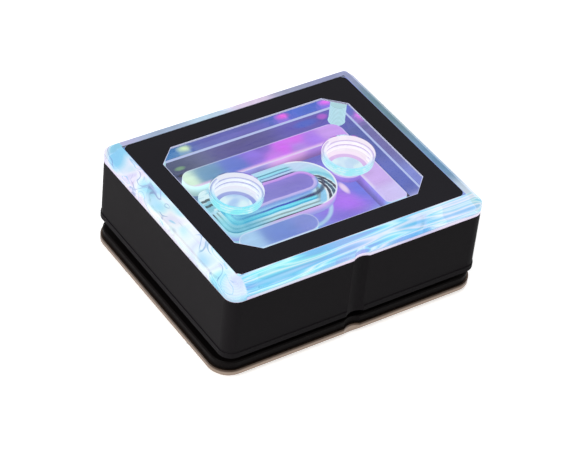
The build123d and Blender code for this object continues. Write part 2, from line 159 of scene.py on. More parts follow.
class Tree:
    """A node tree that is written as calls."""

    def __init__(self, nodes):
        self.nodes = nodes

    def node(self, kind, settings=None, sockets=None, out=0):
        """Adds one node: its type, its settings first, then values or wires for its sockets."""
        made = self.nodes.nodes.new(kind)
        for name, value in (settings or {}).items():
            if name == "stops":
                self.fill_ramp(made.color_ramp, value)
            else:
                setattr(made, name, value)
        for key, value in (sockets or {}).items():
            if isinstance(value, Wire):
                value.to(made.inputs[key])
            else:
                made.inputs[key].default_value = value
        return Wire(self, made.outputs[out]) if made.outputs else made

    def fill_ramp(self, ramp, stops):
        while len(ramp.elements) < len(stops):
            ramp.elements.new(1.0)
        for element, (place, colour) in zip(ramp.elements, stops):
            element.position = place
            element.color = colour

    def math(self, operation, *values):
        return self.node("ShaderNodeMath", {"operation": operation}, dict(enumerate(values)))

    def mix(self, share, first, second):
        """Goes from the first colour to the second as the share goes from nought to one."""
        settings = {"data_type": "RGBA"}
        return self.node("ShaderNodeMix", settings, {0: share, 6: first, 7: second}, out=2)

    def layers(self, base, *pairs):
        """Lays colours over a base, each through its own mask."""
        for mask, colour in pairs:
            base = self.mix(mask, base, colour)
        return base

    def ramp(self, value, stops):
        """Colours along a value: each stop is a value and its screen colour."""
        low, high = stops[0][0], stops[-1][0]
        share = (value - low) / (high - low)
        places = [((at - low) / (high - low), paint(*colour)) for at, colour in stops]
        return self.node("ShaderNodeValToRGB", {"stops": places}, {0: share})

    def add_colours(self, first, second):
        return self.node("ShaderNodeVectorMath", {"operation": "ADD"}, {0: first, 1: second})

    def scale_colour(self, colour, share):
        sockets = {0: colour[:3] if isinstance(colour, tuple) else colour, "Scale": share}
        return self.node("ShaderNodeVectorMath", {"operation": "SCALE"}, sockets)

    def millimetres(self):
        """Object coordinates, counted in millimetres."""
        return self.place(scale=(1 / mm,) * 3)

    def place(self, scale=(1, 1, 1), turn=(0, 0, 0)):
        """Object coordinates, stretched or turned by a Mapping node where that is asked for."""
        object_place = self.node("ShaderNodeTexCoord", out=3)
        if tuple(scale) == (1, 1, 1) and tuple(turn) == (0, 0, 0):
            return object_place
        sockets = {"Vector": object_place, "Scale": scale, "Rotation": turn}
        return self.node("ShaderNodeMapping", None, sockets)

    def split(self, vector):
        """The x, y and z of a vector."""
        apart = self.node("ShaderNodeSeparateXYZ", None, {0: vector})
        return [Wire(self, socket) for socket in apart.socket.node.outputs]

    def noise(self, vector, size, detail=3.0, rough=0.5, twist=0.0):
        """A cloudy pattern whose blobs are about as large as the size says."""
        sockets = {"Vector": vector, "Scale": 1 / size, "Detail": detail, "Roughness": rough,
                   "Distortion": twist}
        return self.node("ShaderNodeTexNoise", None, sockets)

    def bump(self, height, distance, strength=1.0):
        sockets = {"Height": height, "Distance": distance, "Strength": strength}
        return self.node("ShaderNodeBump", None, sockets)


def finish_tree(name):
    """A new material with one Principled shader, and the tree that feeds it."""
    material = bpy.data.materials.new(name)
    material.use_nodes = True
    tree = Tree(material.node_tree)
    shader = material.node_tree.nodes["Principled BSDF"]
    return material, tree, shader


def feed(shader, **sockets):
    """Sets the shader's sockets: a wire is linked and a value is set."""
    for name, value in sockets.items():
        socket = shader.inputs[name.replace("_", " ")]
        if isinstance(value, Wire):
            value.to(socket)
        else:
            socket.default_value = value


# %% [markdown]
# ## Black pieces
# The housing and the trim frame are satin black. Real satin plastic is never one flat value:
# it has a fine grain that breaks up reflections and a slow drift in its gloss. Both come from
# noise on object coordinates, which needs no UV map on a part with plain faces. The pattern
# feeds roughness and a very shallow bump, and the colour only a little.

# %% Satin black finishes
def satin_black(name, colour, gloss, grain, depth, rough):
    """Black plastic or anodised metal with fine grain and slow drift in its gloss."""
    material, tree, shader = finish_tree(name)
    place = tree.place()
    fine = tree.noise(place, grain, detail=2.0)
    slow = tree.noise(place, 14 * mm, detail=2.0)
    tone = tree.mix(slow, tuple(0.8 * value for value in colour[:3]) + (1.0,), colour)
    feed(shader, Base_Color=tone, Roughness=rough - 0.05 + 0.1 * slow + 0.06 * fine,
         Normal=tree.bump(fine, depth), Specular_IOR_Level=gloss)
    return material


housing_black = satin_black("housing black", paint(25, 23, 25), gloss=0.03, grain=0.25 * mm,
                            depth=0.004 * mm, rough=0.5)
trim_black = satin_black("trim black", paint(34, 33, 38), gloss=0.04, grain=0.35 * mm,
                         depth=0.003 * mm, rough=0.46)
metal_black = satin_black("ring black", paint(14, 11, 11), gloss=0.04, grain=0.2 * mm,
                          depth=0.004 * mm, rough=0.45)
tape_black = satin_black("tape black", paint(24, 23, 25), gloss=0.05, grain=0.6 * mm,
                         depth=0.01 * mm, rough=0.6)
rubber_black = satin_black("rubber black", paint(18, 18, 19), gloss=0.06, grain=0.5 * mm,
                           depth=0.01 * mm, rough=0.55)
print("black finishes: 5")

# %% [markdown]
# ## Metal pieces
# The base is copper under a thin warm nickel plate, ground along its length. The grinding
# leaves long fine scratches, so the noise is stretched along one axis. The same recipe, with
# other colours, gives the steel of the screws and the gilt contacts.

# %% Ground and plated metal
def ground_metal(name, colour, tint, stretch, rough, depth, painted_shade_from=None):
    """Bare metal with scratches along one axis, a slow change of tint, and painted shade at its top
    if asked.
    """
    material, tree, shader = finish_tree(name)
    scratch = tree.noise(tree.place(scale=stretch), 0.3 * mm, detail=4.0, rough=0.7)
    slow = tree.noise(tree.place(), 11 * mm, detail=2.0)
    tone = tree.mix(slow, colour, tint)
    if painted_shade_from is not None:
        height = tree.split(tree.place())[2]
        # Painted shade: above the given height the metal darkens to a dark copper brown, where the
        # ledge mirrors the black ring.
        tone = tree.mix(0.85 * height.above(painted_shade_from, 0.3 * mm), tone, paint(52, 36, 26))
    feed(shader, Base_Color=tone, Metallic=1.0, Roughness=rough + 0.16 * scratch,
         Normal=tree.bump(scratch, depth))
    return material


plate_metal = ground_metal("plated copper", paint(142, 128, 119), paint(156, 138, 122),
                           stretch=(0.04, 1, 1), rough=0.34, depth=0.004 * mm, painted_shade_from=2.3 * mm)
steel = ground_metal("screw steel", paint(168, 168, 172), paint(150, 150, 156),
                     stretch=(1, 1, 0.2), rough=0.22, depth=0.003 * mm)
gilt = ground_metal("contact gilt", paint(225, 196, 120), paint(205, 172, 96),
                    stretch=(1, 1, 0.2), rough=0.2, depth=0.002 * mm)
print("metal finishes: 3")

# %% [markdown]
# ## The light ring
# Twelve small lights stand round the core of the clear top, each set to its own colour. What
# the eye sees is less the lights than the glow that they leave on every milled face, so the
# glow is worked out as a field: at each place the colours of named spots are averaged, and the
# near ones count most. One function makes the field for any finish.

# %% The glow field
class Glow:
    """One spot of coloured light: its place in millimetres and its screen colour."""

    def __init__(self, x, y, red, green, blue, level=1.0):
        self.place = (x, y, 0.0)
        self.colour = paint(red, green, blue, level)[:3]


spot_core = 0.12


def glow_field(tree, x, y, glows, reach):
    """The mean colour of the glows at a place, weighted by nearness within the reach."""
    flat = tree.node("ShaderNodeCombineXYZ", None, {0: x, 1: y})
    weights, colours = [], []
    for glow in glows:
        ends = {0: flat, 1: glow.place}
        distance = tree.node("ShaderNodeVectorMath", {"operation": "DISTANCE"}, ends, out=1)
        weight = 1 / ((distance / reach) ** 2 + spot_core) ** 2
        weights.append(weight)
        colours.append(tree.scale_colour(glow.colour, weight))
    total, colour = weights[0], colours[0]
    for weight, part in zip(weights[1:], colours[1:]):
        total = total + weight
        colour = tree.add_colours(colour, part)
    return tree.scale_colour(colour, 1 / total)


# %% Where the lights stand and which colours they burn in
half_package = 1.6
row_y = chips_high.y / mm - half_package
column_x = chips_high.x / mm - half_package
far_x = 28.0
near_x = 14.7
side_y = 18.2
ring_glows = [
    Glow(-far_x, row_y, 120, 170, 230), Glow(-near_x, row_y, 214, 240, 176),
    Glow(near_x, row_y, 240, 92, 214), Glow(far_x, row_y, 236, 104, 232),
    Glow(column_x, side_y, 236, 120, 240), Glow(column_x, -side_y, 190, 180, 250),
    Glow(far_x, -row_y, 236, 222, 252), Glow(near_x, -row_y, 110, 214, 252),
    Glow(-near_x, -row_y, 126, 236, 250), Glow(-far_x, -row_y, 170, 240, 250),
    Glow(-column_x, -side_y, 196, 244, 252), Glow(-column_x, side_y, 238, 214, 252),
]
print("lights:", len(ring_glows))

# %% [markdown]
# ## The clear top
# The top is one clear block, polished outside and milled inside. Polished faces bend the light
# and show what lies behind them. Milled faces scatter the light of the ring, so they glow, and
# that glow is painted light: an emission colour. The material mixes those two: a clear glass
# shader and a shader with the painted glow, with a mask that finds the milled faces by their
# place. Each kind of milled face then has its own painted glow. The floor of the core is painted
# darkest, the ceiling of the channel takes the colours of the back lights, and the steps of the
# pocket act as small prisms, so their colours run in bands round its axis.

# %% Places of the milled faces, in millimetres
core_half_x = 30.5
core_half_y = 24.7
floor_level = 13.7
rim_level = 15.3
step_level = 18.6
channel_level = 20.0
milled_top = 20.7
foot_level = 25.1
foot_strip_top = 25.9
strip_line_gap = 0.2
screw_top = 26.5
top_level = top_high.z / mm
port_depth = 5.0
port_floor = top_level - port_depth
bore_radius = 4.3
ring_edge = 5.45
window_half_x = 27.5
window_half_y = 21.45
window_cut = 5.0
window_seat = 1.3
window_highlight_width = 0.13
trim_half_x = trim_high.x / mm
trim_half_y = trim_high.y / mm
pocket_start = (nozzle_low.x + nozzle_high.y) / mm
pocket_end = (nozzle_high.x - nozzle_high.y) / mm
nozzle_clearance = 0.2
pocket_radius = nozzle_high.y / mm + nozzle_clearance
pocket_squareness = 7
channel_y = 13.3
channel_half = 3.2
channel_left = -19.9
front_run_end = -4.6
cross_x = 20.85
screw_place = (27, 20)
screw_radius = 2.3
print("core", 2 * core_half_x, "by", 2 * core_half_y, "mm, top at", round(top_level, 2), "mm")


# %% The streaks on the milled faces, and the distances that masks and bands go by
def milled_streak(tree):
    """Soft slanting streaks, as a mill leaves them."""
    place = tree.place(scale=(0.3, 1, 0.3), turn=(0, 0, 0.5))
    return tree.noise(place, 2.4 * mm, detail=3.0, twist=0.5)


def window_distance(x, y):
    """How far outside the eight-sided window a place is; less than nought inside it."""
    out_x, out_y = abs(x) - window_half_x, abs(y) - window_half_y
    corner = (out_x + out_y + window_cut) * math.sqrt(0.5)
    return out_x.most(out_y).most(corner)


def port_distance(x, y):
    """Distance from the axis of the nearer port."""
    away = abs(x) - port_places[1].x / mm
    return (away * away + y * y) ** 0.5


def pocket_distance(x, y):
    """Distance from the axis of the inlet pocket, whose end under the port is squarer."""
    after = (x - pocket_end).most(0.0)
    before = (pocket_start - x).most(0.0)
    round_end = (after * after + y * y) ** 0.5
    powers = before ** pocket_squareness + abs(y) ** pocket_squareness
    square_end = powers ** (1 / pocket_squareness)
    return round_end.most(square_end)


def run_distance(x, y, start, end, middle):
    """Distance outside a run of the channel with round ends, along X."""
    beyond = (start - x).most(x - end).most(0.0)
    across = y - middle
    return (beyond * beyond + across * across) ** 0.5 - channel_half


# %% Glow of the floor and the rim
floor_glows = [
    Glow(-22, 21, 66, 78, 116), Glow(0, 21, 88, 82, 152), Glow(20, 21, 100, 90, 186),
    Glow(28, 10, 84, 98, 178), Glow(28, -8, 90, 106, 196), Glow(17, -6, 112, 124, 240),
    Glow(12, -8, 180, 120, 248), Glow(8, -15, 140, 120, 232), Glow(-25, 8, 90, 130, 166),
    Glow(-25, -6, 150, 210, 236), Glow(-18, -21, 130, 230, 248), Glow(2, -21, 104, 196, 244),
    Glow(16, -21, 128, 216, 250), Glow(28, -21, 232, 224, 252), Glow(-28, -14, 186, 236, 250),
    Glow(-28, 2, 196, 214, 250), Glow(-28, 16, 214, 206, 250),
]
rim_glows = [
    Glow(-26, 27, 66, 128, 190), Glow(-2, 27, 102, 104, 184), Glow(22, 27, 84, 112, 212),
    Glow(33, 8, 112, 112, 170), Glow(33, -14, 130, 140, 215), Glow(20, -27, 150, 216, 250),
    Glow(-6, -27, 120, 216, 248), Glow(-30, -24, 190, 240, 250), Glow(-33, 4, 214, 226, 252),
]


class PaintedReflection:
    """A painted reflection: a soft oval of one colour, with its middle, half sizes, end and
    strength.
    """

    def __init__(self, x, y, half_x, half_y, end, strength, colour):
        self.x, self.y, self.half_x, self.half_y = x, y, half_x, half_y
        self.end, self.strength, self.colour = end, strength, paint(*colour)

    def layer(self, x, y):
        """The mask and the colour of the oval, as one pair for Tree.layers."""
        away_x, away_y = (x - self.x) / self.half_x, (y - self.y) / self.half_y
        inside = (away_x * away_x + away_y * away_y).below(self.end, self.end)
        return self.strength * inside, self.colour


# Painted reflections on the floor: a pale dash of light right of the pocket, and mirrored lights
# near the back.
painted_floor_reflections = [
    PaintedReflection(13.5, -3.6, 0.9, 2.4, 0.8, 0.9, (248, 222, 252)),
    PaintedReflection(-19.2, 21.4, 1.6, 0.8, 0.7, 0.5, (150, 206, 140)),
    PaintedReflection(24.5, 23, 1.4, 1.1, 0.9, 0.6, (206, 96, 222)),
    PaintedReflection(19, 22.5, 3.5, 1.4, 0.8, 0.5, (56, 112, 216)),
]
arc_middle = (-1, -4)
arc_radius = 8.7
arc_half = 0.5
light_stretch = 1.5
print("floor glows", len(floor_glows), "floor spots", len(painted_floor_reflections), "rim glows", len(rim_glows))


def lit_floor(tree, x, y, streak):
    """Painted glow on the core's underside: painted shade at the far side, painted reflections, a
    dash and an arc.
    """
    tone = tree.scale_colour(glow_field(tree, x, y, floor_glows, 7), 0.76 + 0.4 * streak)
    # A pale arc of painted light.
    arc_x, arc_y = x - arc_middle[0], y - arc_middle[1]
    from_arc = abs((arc_x * arc_x + arc_y * arc_y) ** 0.5 - arc_radius)
    arc = from_arc.below(arc_half, 0.35) * y.below(-7, 1.0)
    spots = [spot.layer(x, y) for spot in painted_floor_reflections]
    return tree.layers(tone, *spots, (0.7 * arc, paint(186, 232, 248)))


def lit_rim(tree, x, y, streak):
    """The frosted rim over the lights, which shows each as a soft spot."""
    tone = tree.scale_colour(glow_field(tree, x, y, rim_glows, 9), 0.8 + 0.4 * streak)
    row_along = abs(abs(x) - near_x).least(abs(abs(x) - far_x)) / light_stretch
    row_away = abs(y) - row_y
    column_away = abs(x) - column_x
    column_along = (abs(y) - side_y) / light_stretch
    in_row = (row_along * row_along + row_away * row_away) ** 0.5
    in_column = (column_away * column_away + column_along * column_along) ** 0.5
    spot = in_row.least(in_column).below(0.9, 0.9) * (0.45 + 0.7 * streak)
    return tree.mix(spot, tone, glow_field(tree, x, y, ring_glows, 3))


# %% Glow of the channel
channel_glows = [
    Glow(-23, 13, 222, 250, 222), Glow(-16, 13, 100, 146, 186), Glow(-8, 13, 96, 120, 208),
    Glow(-2, 14, 140, 112, 226), Glow(1, 15.8, 116, 92, 200), Glow(2.5, 11.4, 204, 124, 244),
    Glow(6.2, 13.6, 214, 100, 246), Glow(10.5, 15.6, 216, 104, 242), Glow(10, 11.6, 182, 144, 240),
    Glow(14.5, 13, 170, 124, 240), Glow(20, 14, 206, 160, 244), Glow(21, 4, 196, 164, 240),
    Glow(21, -6, 212, 180, 244), Glow(21, -14, 214, 200, 250), Glow(-22, -13, 170, 208, 244),
    Glow(-12, -13, 108, 132, 212), Glow(-3, -13, 128, 136, 216),
]
wall_glows = [
    Glow(-19, 10, 196, 246, 246, 1.3), Glow(-6, 10, 150, 150, 226), Glow(6, 10, 236, 176, 246),
    Glow(16, 10, 186, 140, 236), Glow(17.6, -4, 164, 132, 240), Glow(17.6, -14, 150, 134, 240),
    Glow(-20, -16.5, 140, 236, 248), Glow(-8, -16.5, 176, 236, 252), Glow(20, -16.5, 150, 226, 250),
    Glow(-23, -12, 206, 240, 250), Glow(-23, 12, 214, 252, 250, 1.3), Glow(-23, 0, 150, 214, 246),
]
print("channel glows", len(channel_glows), "wall glows", len(wall_glows))


def lit_channel(tree, x, y, streak):
    """Painted glow on the channel's ceilings, with painted highlights by two sides and a pale line
    where each turns down into its wall.
    """
    tone = tree.scale_colour(glow_field(tree, x, y, channel_glows, 4.5), 0.8 + 0.4 * streak)
    back = run_distance(x, y, channel_left, cross_x, channel_y)
    front = run_distance(x, y, channel_left, front_run_end, -channel_y)
    cross = abs(x - cross_x) - channel_half
    outside = back.least(front).least(cross.most(abs(y) - channel_y - channel_half))
    # Painted highlights along the back run's near side and the cross run's left side.
    near_highlight = (abs(y) - channel_y + channel_half).below(0.7, 0.6) * y.above(0.0, 0.1)
    near_highlight = near_highlight * x.below(cross_x - channel_half, 0.3)
    left_highlight = (x - cross_x + channel_half).below(0.6, 0.5)
    left_highlight = left_highlight * abs(y).below(channel_y - channel_half, 0.6)
    # A pale painted highlight along the edge of each ceiling.
    edge = outside.above(-0.22, 0.12)
    return tree.layers(tone, (0.75 * near_highlight, paint(250, 206, 250)),
                       (0.75 * left_highlight, paint(238, 226, 252)), (0.5 * edge, paint(224, 232, 252)))


def lit_wall(tree, x, y, z, streak):
    """The upright walls in painted light: a painted highlight under the ceiling, painted shade near
    the floor.
    """
    tone = glow_field(tree, x, y, wall_glows, 6)
    # Painted shade: the glow dims towards the floor.
    fall = z.step(floor_level, channel_level)
    tone = tree.scale_colour(tone, (0.45 + 0.55 * fall) * (0.75 + 0.5 * streak))
    # A painted highlight along the top of each wall, just under the ceiling.
    return tree.mix(0.6 * z.above(channel_level - 0.4, 0.2), tone, paint(240, 236, 252))


# %% [markdown]
# ### The stepped pocket
# Real steps of clear acrylic work as a stack of prisms, and to follow light through them is slow
# and grainy. Bands of colour give the same look: each band is set by the distance from the
# pocket's axis, and that distance turns round the end of the capsule by itself. At the round end
# the bands fan out, so there the angle round the end moves them along.

# %% Bands of the stepped pocket
front_bands = [
    (0, (129, 119, 203)), (2.6, (134, 124, 210)), (2.9, (204, 188, 244)), (3.4, (186, 184, 240)),
    (3.9, (120, 156, 226)), (4.9, (150, 208, 248)), (5.05, (48, 84, 186)), (5.35, (48, 90, 190)),
    (5.5, (108, 224, 246)), (6.2, (112, 232, 248)), (6.35, (60, 176, 218)), (6.6, (66, 182, 220)),
    (6.75, (204, 238, 248)), (7.4, (200, 236, 244)), (7.5, (138, 168, 172)),
    (7.75, (140, 172, 176)), (7.9, (196, 236, 246)), (8.5, (176, 222, 236)),
    (8.6, (62, 40, 46)), (10, (62, 40, 46))]
back_bands = [
    (0, (129, 119, 203)), (2.8, (140, 122, 214)), (3.2, (206, 148, 242)), (3.8, (212, 170, 246)),
    (4.0, (52, 58, 120)), (4.4, (56, 66, 128)), (4.6, (188, 214, 246)), (5.2, (168, 208, 240)),
    (5.35, (84, 118, 168)), (5.6, (88, 126, 176)), (5.8, (140, 216, 236)), (6.6, (150, 224, 240)),
    (6.8, (62, 140, 164)), (7.0, (66, 144, 168)), (7.2, (160, 224, 240)), (8.4, (176, 222, 244)),
    (10, (196, 214, 248))]
fan_bands = [
    (-9, (196, 232, 244)), (-3, (200, 236, 246)), (-2.5, (132, 162, 172)), (-1.4, (136, 170, 180)),
    (-1.0, (138, 202, 240)), (0.6, (150, 214, 244)), (0.9, (240, 250, 253)), (1.3, (236, 248, 252)),
    (1.5, (18, 26, 36)), (2.3, (18, 26, 36)), (2.5, (224, 240, 248)), (2.75, (220, 238, 248)),
    (2.9, (38, 88, 104)), (3.9, (40, 92, 108)), (4.1, (214, 236, 244)), (4.3, (212, 236, 244)),
    (4.5, (22, 28, 38)), (5.3, (24, 32, 42)), (5.5, (226, 244, 250)), (6.0, (158, 226, 240)),
    (7.4, (120, 202, 226)), (8.6, (166, 230, 242)), (12, (192, 220, 246)), (20, (192, 220, 246))]
fan_rate = 5.7
step_start = 3.95
dash_y = 4.05
dash_apart = 1.0
dash_half = 0.42
left_end_x = -19.8
print("bands: front", len(front_bands), "back", len(back_bands), "fan", len(fan_bands))


def lit_pocket(tree, x, y, z, streak):
    """The pocket's steps in painted light: bands along its axis, arcs at its round end, dark dashes
    at its left end.
    """
    flow = tree.noise(tree.place(), 5 * mm, detail=1.0)
    distance = pocket_distance(x, y) + 0.5 * (flow - 0.5)
    sides = tree.ramp(distance, front_bands), tree.ramp(distance, back_bands)
    tone = tree.mix(y.above(0.0, 0.3), *sides)
    on_steps = distance.above(step_start, 0.1)

    # Painted light at the left end: pale gleams and dark painted dashes.
    gleam = tree.noise(tree.place(scale=(0.25, 1, 1)), 1.6 * mm, detail=1.0).step(0.4, 0.6)
    dashes = abs(abs(y - dash_y) - dash_apart).below(dash_half, 0.12)
    left_end = tree.layers(paint(222, 246, 250), (gleam, paint(136, 200, 218)),
                           (0.9 * dashes, paint(20, 30, 36)))
    at_left = x.below(left_end_x, 0.5) * y.above(0.6, 0.8)

    beyond = x - pocket_end
    angle = y.math("ARCTAN2", beyond.most(0.01))
    fan = tree.ramp(distance + fan_rate * angle, fan_bands)
    at_right = beyond.step(-0.6, 1.4) * on_steps
    tone = tree.layers(tone, (at_left, left_end), (at_right, fan),
                       (at_right * distance.above(8.4, 0.12), paint(236, 246, 252)))

    swirl = tree.noise(tree.place(), 6 * mm, detail=0.0, twist=0.5).step(0.35, 0.65)
    cyan = x.below(-13, 5) * y.below(-2, 2) * on_steps
    # Painted shade: a dark band along the front near the pocket's right end.
    dark = x.above(-1, 4) * y.below(0, 1) * abs(distance - 5.2).below(0.5, 0.3)
    swirled = tree.mix(swirl, paint(60, 170, 206), paint(150, 240, 250))
    tone = tree.layers(tone, (0.75 * cyan, swirled), (0.8 * dark, paint(24, 34, 66)))

    wall = pocket_distance(x, y).above(pocket_radius - 0.12, 0.03) * z.below(step_level, 0.15)
    upper = tree.mix(x.step(-16, -8), paint(170, 228, 244), paint(218, 180, 240))
    side = tree.mix(z.step(floor_level, step_level), paint(150, 160, 230), upper)
    return tree.scale_colour(tree.mix(wall, tone, side), 0.86 + 0.28 * streak)


# %% [markdown]
# ### Ports and crown
# The ports and the crown scatter the light most, so they are nearly white. What tells them from
# plain white plastic is their painted light: its colour changes round them by place, and it
# carries painted glints. Along the front the glints are long streaks of light, so their noise is
# stretched along X. On the left they are soft clouds, and thin curls where a second noise passes
# one value.

# %% Glow of the ports
print("port bore", bore_radius, "mm, shoulder at", round(port_floor, 2), "mm")


def port_side(x, y):
    """Nought at the left port and one at the right port."""
    return (x / 20 + y / 12).step(-1.5, 1.5)


def port_facing(x, y, end):
    """Nought at the side of a port's wall that is near the front, one at its far side."""
    local = x - port_places[1].x / mm * x.math("SIGN")
    return (0.6 * local + 0.8 * y).step(-5.5, end)


def lit_port(tree, x, y, z, distance):
    """Painted light on the ports: white far wall, mottled cyan near wall, a blue ring on the
    shoulder, a pale bore.
    """
    side = port_side(x, y)
    facing = port_facing(x, y, 2.0)
    mottle = tree.noise(tree.place(scale=(1, 1, 0.5)), 2.2 * mm, detail=2.0).step(0.4, 0.65)
    cyan = tree.mix(side, paint(140, 246, 250), paint(184, 246, 252))
    cyan = tree.mix(0.7 * mottle, cyan, paint(236, 254, 255))
    wall = tree.mix(facing, cyan, tree.mix(side, paint(232, 244, 254), paint(255, 244, 255)))
    pale = tree.mix(side, paint(222, 242, 254), paint(255, 240, 254))
    ring = tree.mix(side, paint(124, 160, 222), paint(226, 196, 240))
    ring = tree.mix(distance.above(ring_edge, 0.2), ring, pale)
    ring = tree.mix(facing, tree.mix(side, paint(150, 240, 250), paint(190, 246, 252)), ring)
    wave = tree.noise(tree.place(), 4 * mm, detail=0.0, twist=0.5).step(0.4, 0.6)
    bore = tree.mix(wave, paint(170, 204, 246), paint(226, 250, 254))
    bore = tree.mix(0.6 * side, bore, paint(226, 250, 252))
    on_shoulder = z.below(port_floor + 0.1, 0.05) * z.above(port_floor - 0.1, 0.05)
    in_bore = distance.below(bore_radius + 0.15, 0.05) * z.below(port_floor - 0.1, 0.1)
    return tree.mix(in_bore, tree.mix(on_shoulder, wall, ring), bore)


# %% Glow of the crown
crown_glows = [
    Glow(-37, -31, 90, 160, 240), Glow(-24, -31, 150, 250, 250), Glow(-12, -31, 180, 240, 250),
    Glow(-2, -31, 240, 236, 252), Glow(6, -31, 200, 240, 254), Glow(17, -31, 84, 172, 238),
    Glow(27, -31, 226, 240, 252), Glow(36, -30, 220, 236, 252), Glow(-37, -18, 196, 244, 252),
    Glow(-37, -4, 226, 246, 252), Glow(-37, 14, 232, 228, 252), Glow(-37, 28, 206, 206, 250),
    Glow(-19, 31, 173, 194, 224), Glow(-8, 31, 204, 234, 255), Glow(6, 31, 246, 226, 255),
    Glow(17, 31, 168, 175, 206), Glow(27, 31, 162, 168, 210), Glow(37, 10, 110, 150, 166),
    Glow(37, -14, 110, 158, 196),
]
crown_glints = [
    (0, (84, 176, 236)), (0.34, (112, 222, 244)), (0.43, (200, 246, 252)), (0.5, (255, 255, 255)),
    (0.58, (238, 226, 254)), (0.66, (255, 252, 255)), (0.76, (150, 200, 248)), (1, (110, 160, 236))]
crown_light_streaks = [
    (0, (66, 128, 208)), (0.36, (72, 150, 226)), (0.42, (110, 226, 244)), (0.46, (224, 252, 252)),
    (0.5, (120, 216, 240)), (0.54, (252, 250, 255)), (0.6, (120, 206, 244)), (0.66, (74, 150, 226)),
    (0.8, (226, 208, 250))]
print("crown: glows", len(crown_glows), "glints", len(crown_glints), "streaks", len(crown_light_streaks))


def lit_crown(tree, x, y, z):
    """The crown's painted glow: light streaks along the front, glints in clouds and curls on the
    left, a soft far side.
    """
    field = glow_field(tree, x, y, crown_glows, 8)
    drift = tree.noise(tree.place(), 3 * mm, detail=1.0)
    clouds = tree.noise(tree.place(scale=(1, 0.6, 1)), 7 * mm, detail=1.0, twist=0.4)
    curls = tree.noise(tree.place(scale=(1, 0.5, 1)), 5 * mm, detail=1.0, twist=0.8)
    some = tree.noise(tree.place(), 6 * mm, detail=0.0).step(0.45, 0.55)
    glints = tree.layers(tree.ramp(clouds, crown_glints),
                         (0.8 * some * abs(curls - 0.5).below(0.014, 0.012), paint(60, 112, 186)),
                         (0.8 * abs(curls - 0.62).below(0.012, 0.012), paint(104, 200, 236)))
    streaks = tree.noise(tree.place(scale=(0.08, 1, 1)), 2.4 * mm, detail=1.0)
    # Painted light at the foot of the crown: a dark line above the foot strip and a pale strip
    # below it.
    strip_line = abs(z - foot_strip_top - strip_line_gap).below(0.1, 0.08)
    front = tree.layers(tree.ramp(streaks, crown_light_streaks), (0.7 * strip_line, paint(96, 120, 190)),
                        (z.below(foot_strip_top, 0.15), paint(246, 228, 252)))
    # Painted light: the near sides take the bright streaks and glints, and the far sides only a
    # dimmer glow.
    at_left = x.below(-trim_half_x + 0.5 * drift, 0.3)
    at_front = y.below(-trim_half_y, 0.3)
    near = tree.scale_colour(tree.mix(0.3, tree.mix(at_left, front, glints), field), 1.12)
    return tree.mix(at_left.most(at_front), tree.scale_colour(field, 0.85 + 0.3 * drift), near)


# %% [markdown]
# ### Masks of the faces
# A mask is one on the faces of its kind and nought elsewhere. The solid has no groups of faces
# to go by, so each mask asks for a place and for whether the face is level. The second number of
# each below and above is how soft the mask's edge is, in millimetres.

# %% Masks of the clear top's faces
def face_masks(tree, x, y, z):
    """A mask for each kind of face of the clear top."""
    level = abs(tree.split(tree.node("ShaderNodeTexCoord", out=1))[2]).above(0.85, 0.05)
    in_core = abs(x).below(core_half_x + 0.1, 0.03) * abs(y).below(core_half_y + 0.1, 0.03)
    by_edge = abs(x).above(core_half_x - 0.2, 0.05).most(abs(y).above(core_half_y - 0.2, 0.05))
    in_port = port_distance(x, y).below(port_radius / mm + 0.15, 0.03)
    screw_x, screw_y = abs(x) - screw_place[0], abs(y) - screw_place[1]
    in_screw = ((screw_x * screw_x + screw_y * screw_y) ** 0.5).below(screw_radius, 0.05)
    past_trim = (abs(x) - trim_half_x).most(abs(y) - trim_half_y).above(0.1, 0.05)
    # A painted highlight line along the window's edge.
    on_window_highlight = abs(window_distance(x, y)).below(window_highlight_width, 0.05)
    in_pocket = pocket_distance(x, y).below(pocket_radius + 0.15, 0.03)
    return {
        "milled": in_core * z.below(milled_top, 0.05),
        "channel": level * z.above(channel_level - 0.1, 0.05),
        "wall": 1 - level,
        "pocket": in_pocket * z.above(floor_level + 0.1, 0.03),
        "core wall": in_core * z.below(rim_level - 0.02, 0.02) * (1 - level) * by_edge,
        "rim": (1 - in_core) * z.below(foot_level - 0.05, 0.03),
        "foot": z.below(foot_level + 0.08, 0.03) * z.above(foot_level - 0.05, 0.03) * (1 - in_core),
        "screw": in_screw * z.below(screw_top, 0.05),
        "port": in_port * z.above(milled_top - 0.1, 0.05) * z.below(top_level - 0.03, 0.01),
        "crown": past_trim * z.above(foot_level + 0.1, 0.05),
        "line": on_window_highlight * z.above(top_level - window_seat, 0.05),
        "near": x.below(-trim_half_x, 0.5).most(y.below(-trim_half_y, 0.5)),
    }


# %% Put the clear top together
screw_rib_rate = 7.5
sheen = 0.042


def face_glow(tree, masks, x, y, z):
    """The glow of every kind of face, laid over one another through the masks."""
    streak = milled_streak(tree)
    # Painted light and shade of the screw holes' threads: bright and dark bands up the wall.
    screw_rib_shading = 0.86 + 0.3 * (screw_rib_rate * z).math("SINE")
    return tree.layers(
        lit_floor(tree, x, y, streak),
        (masks["channel"], lit_channel(tree, x, y, streak)),
        (masks["wall"], lit_wall(tree, x, y, z, streak)),
        (masks["pocket"], lit_pocket(tree, x, y, z, streak)),
        (masks["core wall"], paint(190, 204, 244)),
        (masks["rim"], lit_rim(tree, x, y, streak)),
        # The foot's painted light: bright on the near sides, dim on the far sides.
        (masks["foot"], tree.mix(masks["near"], paint(116, 132, 168), paint(242, 222, 250))),
        (masks["screw"], tree.scale_colour(paint(200, 246, 255), screw_rib_shading)),
        (masks["port"], lit_port(tree, x, y, z, port_distance(x, y))),
        (masks["crown"], lit_crown(tree, x, y, z)),
        # Painted highlight along the window's edge.
        (masks["line"], paint(214, 220, 255)))


